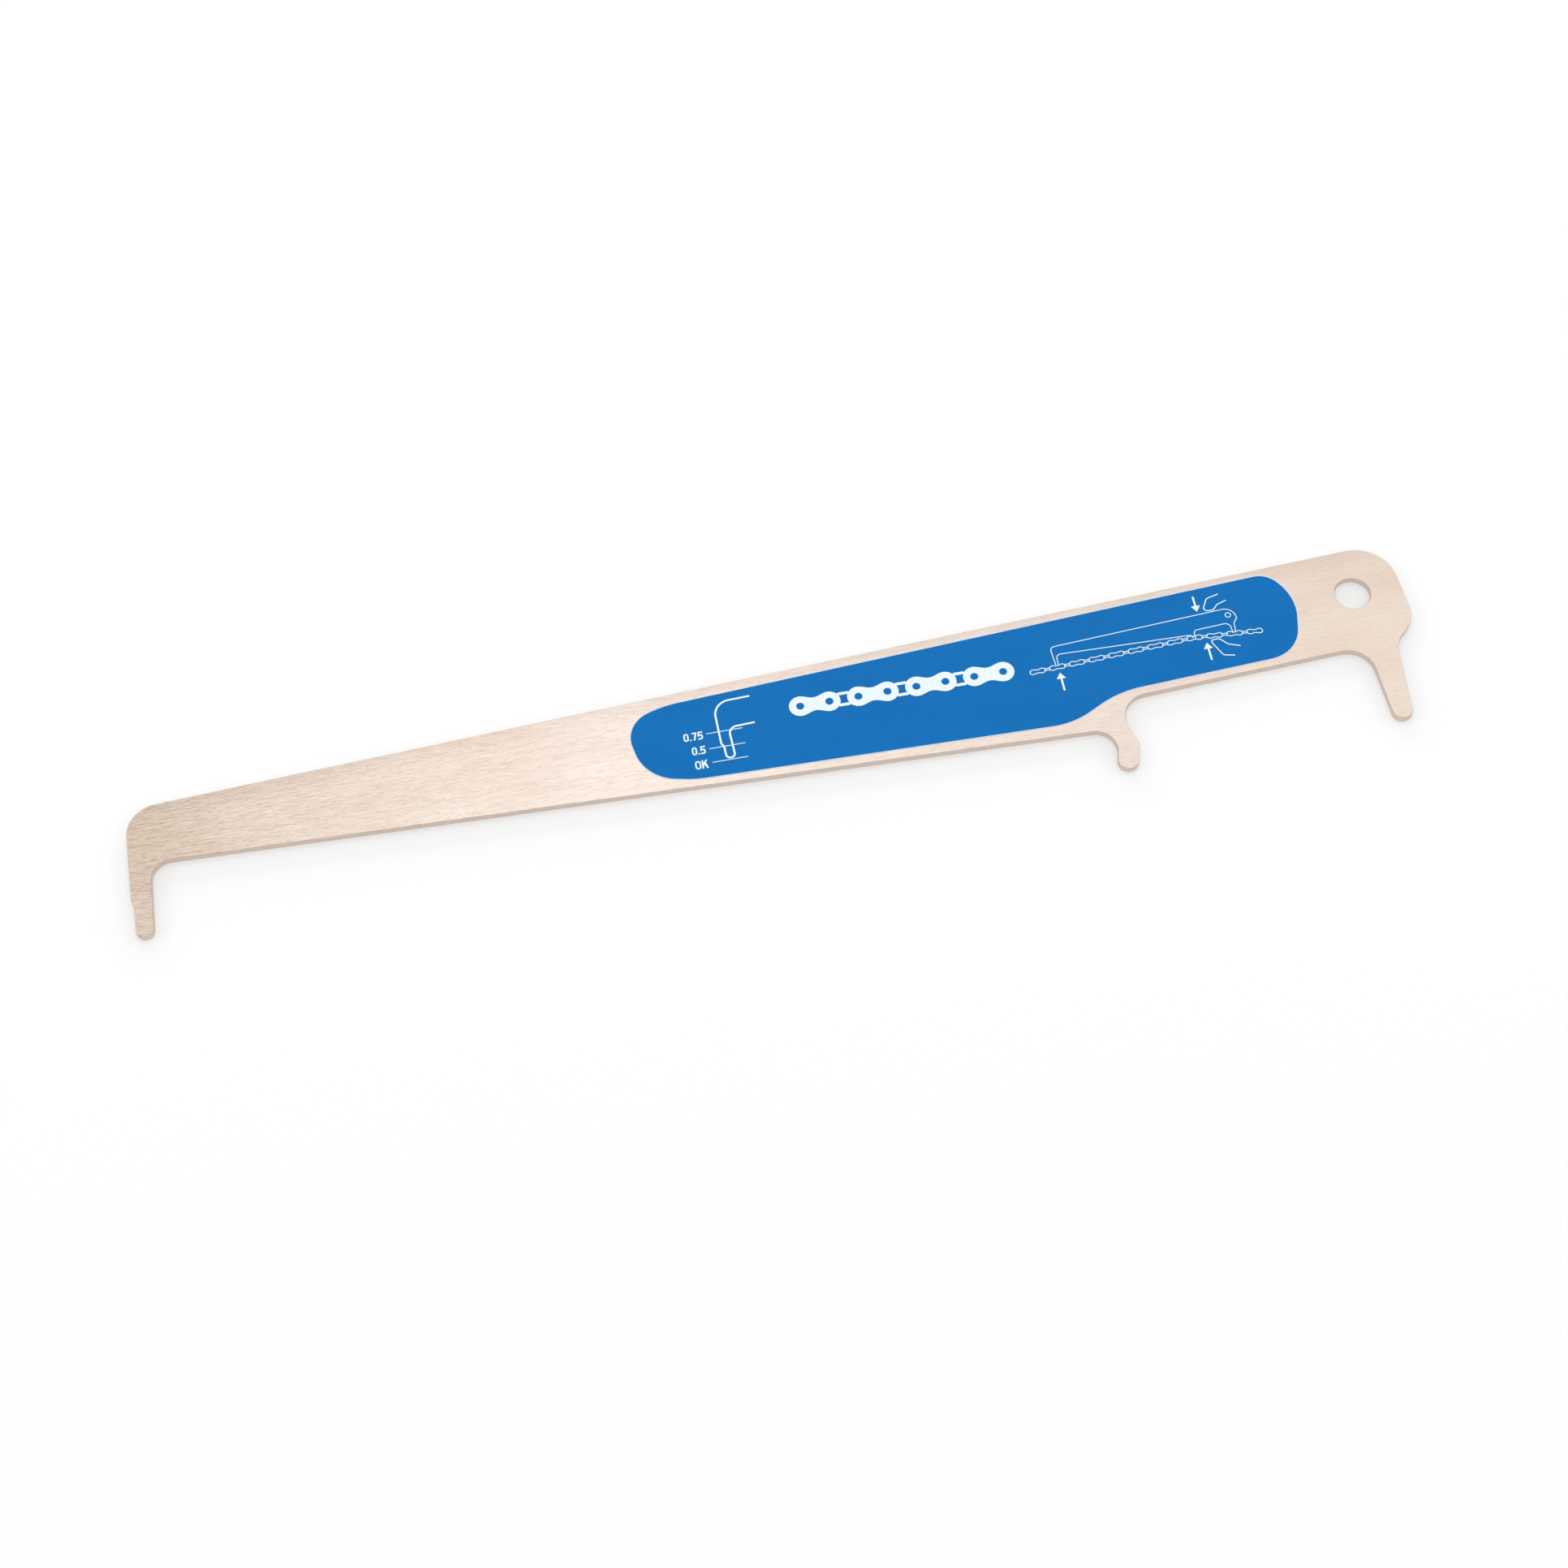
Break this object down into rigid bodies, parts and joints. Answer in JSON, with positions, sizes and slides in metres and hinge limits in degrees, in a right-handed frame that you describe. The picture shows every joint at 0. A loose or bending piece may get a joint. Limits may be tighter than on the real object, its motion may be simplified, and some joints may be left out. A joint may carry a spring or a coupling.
{
  "type": "chain wear gauge",
  "caption": "Flat steel gauge laid along a roller chain to show its stretch, with a stepped measuring leg, a hook, a wedge leg and a hanging hole.",
  "frame": {"origin": "centre of the hanging hole, on the plate's underside", "axes": "+X along the blade from the measuring leg to the head, square to the leg's measuring edge; +Y from the leg tips towards the back edge; +Z out of the printed face"},
  "size_m": [0.2398, 0.0382, 0.0014],
  "materials": {
    "gauge_plate": "brushed lengthways, nickel plated",
    "blue_film": "satin"
  },
  "bodies": {
    "root": {"gauge_plate": "gauge_plate", "blue_film": "blue_film"}
  },
  "joints": []
}
